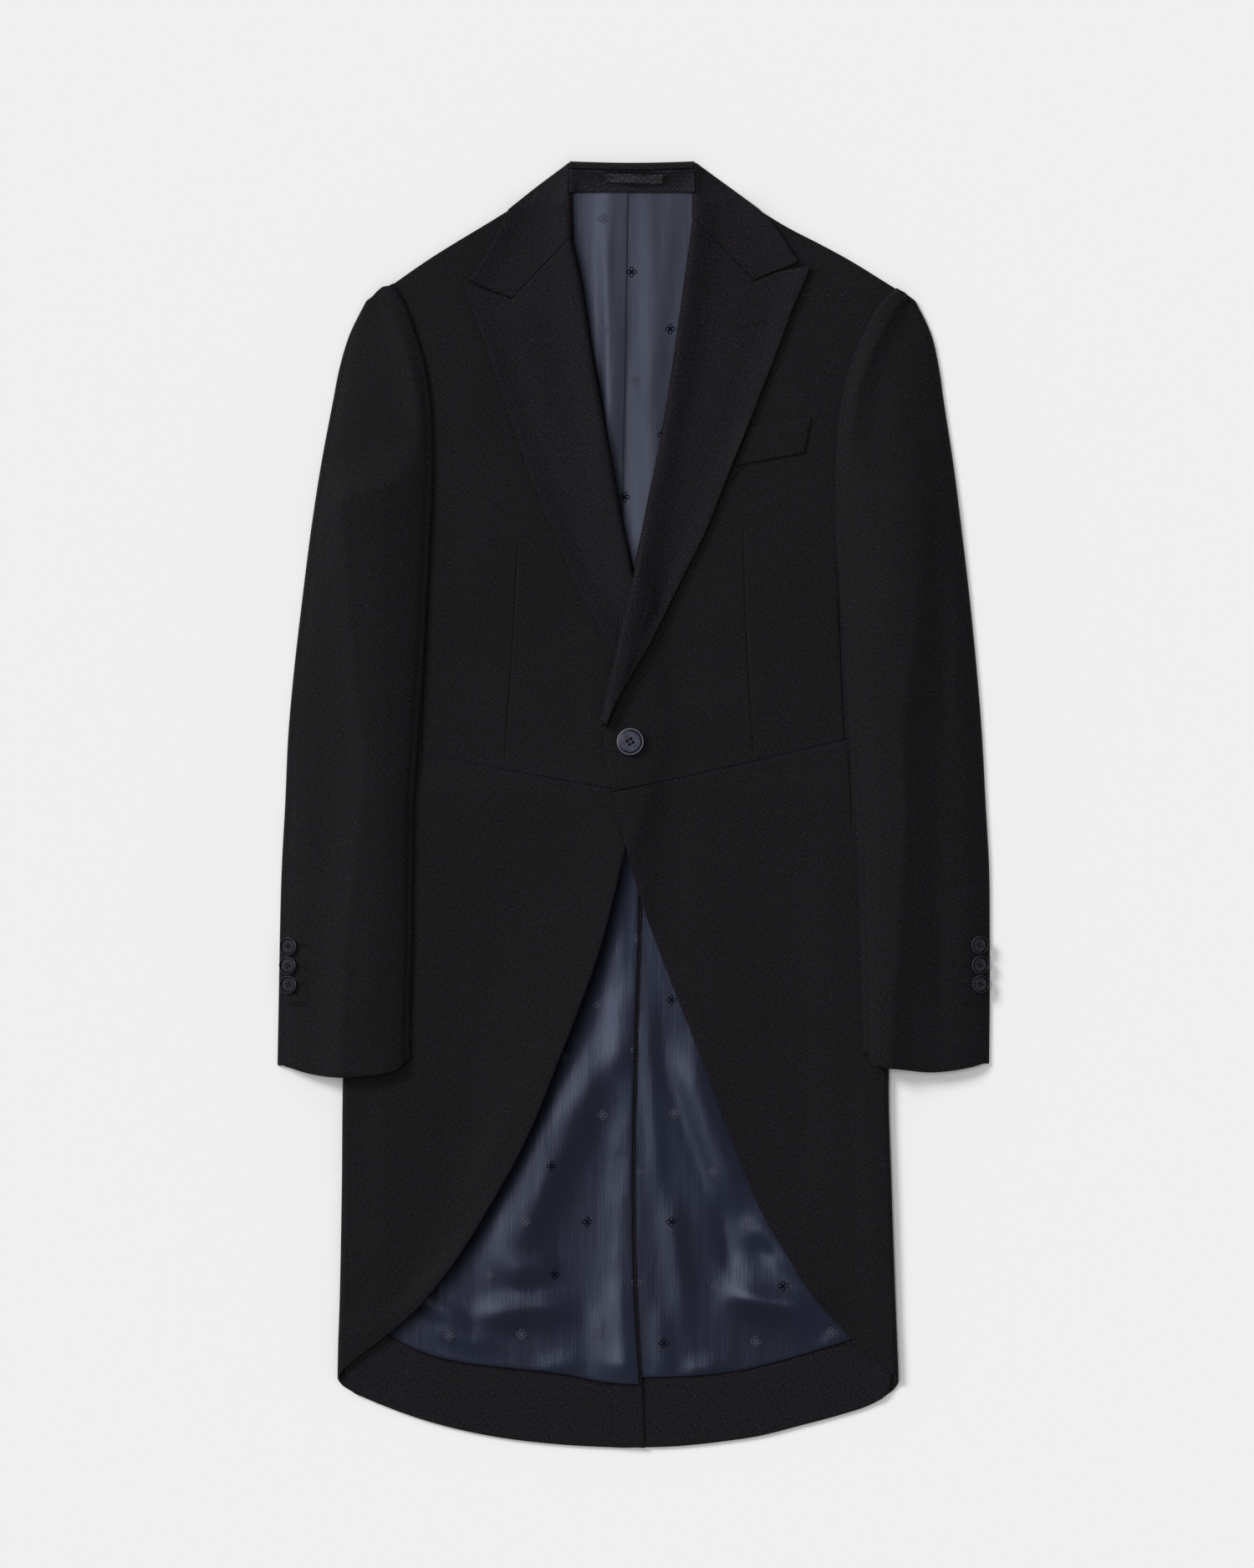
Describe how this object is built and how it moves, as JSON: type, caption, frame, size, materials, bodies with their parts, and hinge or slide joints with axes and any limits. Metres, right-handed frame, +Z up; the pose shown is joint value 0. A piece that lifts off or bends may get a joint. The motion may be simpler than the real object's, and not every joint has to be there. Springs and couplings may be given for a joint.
{
  "type": "morning coat",
  "caption": "Black morning coat laid flat: peaked lapels, cutaway fronts, long tails, navy lining and one front button.",
  "frame": {"origin": "middle of the coat's footprint, on the surface it lies on", "axes": "+Y from the hem to the collar, +X to the wearer's left, +Z up out of the surface"},
  "size_m": [0.5964, 1.0762, 0.022],
  "materials": {
    "wool": "black worsted wool, close dull weave",
    "satin": "navy satin lining with a small woven figure, soft sheen",
    "button": "dark navy, semi-gloss"
  },
  "bodies": {
    "root": {"back_right": "wool", "back_left": "wool", "side_body_right": "wool", "side_body_left": "wool", "forepart_right": "wool", "forepart_left": "wool", "skirt_right": "wool", "skirt_left": "wool", "lapel_right": "wool", "lapel_left": "wool", "collar_leaf_right": "wool", "collar_leaf_left": "wool", "topsleeve_right": "wool", "topsleeve_left": "wool", "undersleeve_right": "wool", "undersleeve_left": "wool", "hem_facing_right": "wool", "hem_facing_left": "wool", "collar_back": "wool", "collar_stand": "wool", "breast_welt": "wool", "vent_edge": "wool", "hanger_loop": "satin", "back_lining_right": "satin", "back_lining_left": "satin", "tail_lining_right": "satin", "tail_lining_left": "satin", "front_button": "button", "cuff_button_right_1": "button", "cuff_button_right_2": "button", "cuff_button_right_3": "button", "cuff_button_left_1": "button", "cuff_button_left_2": "button", "cuff_button_left_3": "button"}
  },
  "joints": []
}
